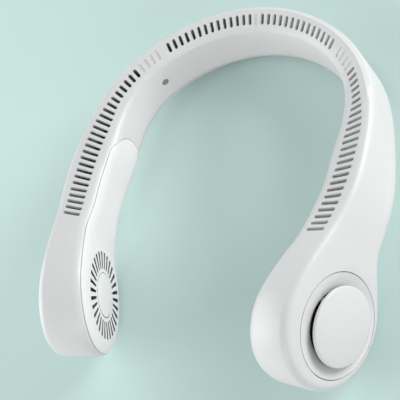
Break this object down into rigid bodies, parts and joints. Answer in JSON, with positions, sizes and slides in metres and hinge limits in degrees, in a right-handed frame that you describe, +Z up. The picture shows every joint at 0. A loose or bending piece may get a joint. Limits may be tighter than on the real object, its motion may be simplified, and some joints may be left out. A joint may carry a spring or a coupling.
{
  "type": "electric neck fan",
  "caption": "Horseshoe neck fan with slotted air band, round intake paddles with domed caps, turning impellers inside and a press button under the arm.",
  "frame": {"origin": "middle of the footprint, at the level of the table the fan lies on", "axes": "+X to the wearer's right arm of the band, +Y to the back of the neck, +Z up to the row of air outlets"},
  "size_m": [0.1806, 0.197, 0.0661],
  "materials": {
    "shell": "satin white moulding",
    "cover": "satin white moulding",
    "dome": "satin white moulding",
    "ring": "fine matte moulding",
    "base": "fine matte moulding",
    "inner": "plain moulding",
    "fan": "plain moulding",
    "steel": "ground",
    "can": "drawn",
    "winding": "enamelled wire",
    "bush": "sintered",
    "cell": "foil pouch",
    "board": "solder mask",
    "contact": "plated",
    "switch": "plain moulding",
    "button": "satin grey",
    "lens": "milky",
    "lead": "flat insulated lead",
    "plug": "matte grey"
  },
  "bodies": {
    "housing": {"band_base": "base", "battery_left": "cell", "battery_right": "cell", "bearing_left": "bush", "bearing_right": "bush", "circuit_board": "board", "dome_cap_left": "dome", "dome_cap_right": "dome", "duct_floor": "inner", "grille_cap_left": "cover", "grille_cap_right": "cover", "indicator_lens": "lens", "inner_cover_left": "cover", "inner_cover_right": "cover", "intake_ring_left": "ring", "intake_ring_right": "ring", "main_housing": "shell", "ribbon_lead": "lead", "screw_plug_left": "plug", "screw_plug_right": "plug", "stator_left": "winding", "stator_right": "winding", "tact_switch": "switch", "usb_socket": "contact"},
    "fan_left": {"impeller_left": "fan", "rotor_left": "can", "shaft_left": "steel"},
    "fan_right": {"impeller_right": "fan", "rotor_right": "can", "shaft_right": "steel"},
    "power_button": {"power_button": "button"}
  },
  "joints": [
    {"name": "fan_left_spin", "type": "hinge", "parent": "housing", "child": "fan_left", "pos_m": [-0.06548, -0.06544, 0.02901], "axis": [-0.9599, -0.1329, 0.2466], "continuous": true},
    {"name": "fan_right_spin", "type": "hinge", "parent": "housing", "child": "fan_right", "pos_m": [0.06548, -0.06544, 0.02901], "axis": [0.9599, -0.1329, 0.2466], "continuous": true},
    {"name": "power_button_press", "type": "slide", "parent": "housing", "child": "power_button", "axis": [-0.3875, -0.1085, 0.9155], "range_m": [0, 0.0005], "stiffness_N_per_m": 3000, "springref_m": -0.0003}
  ]
}
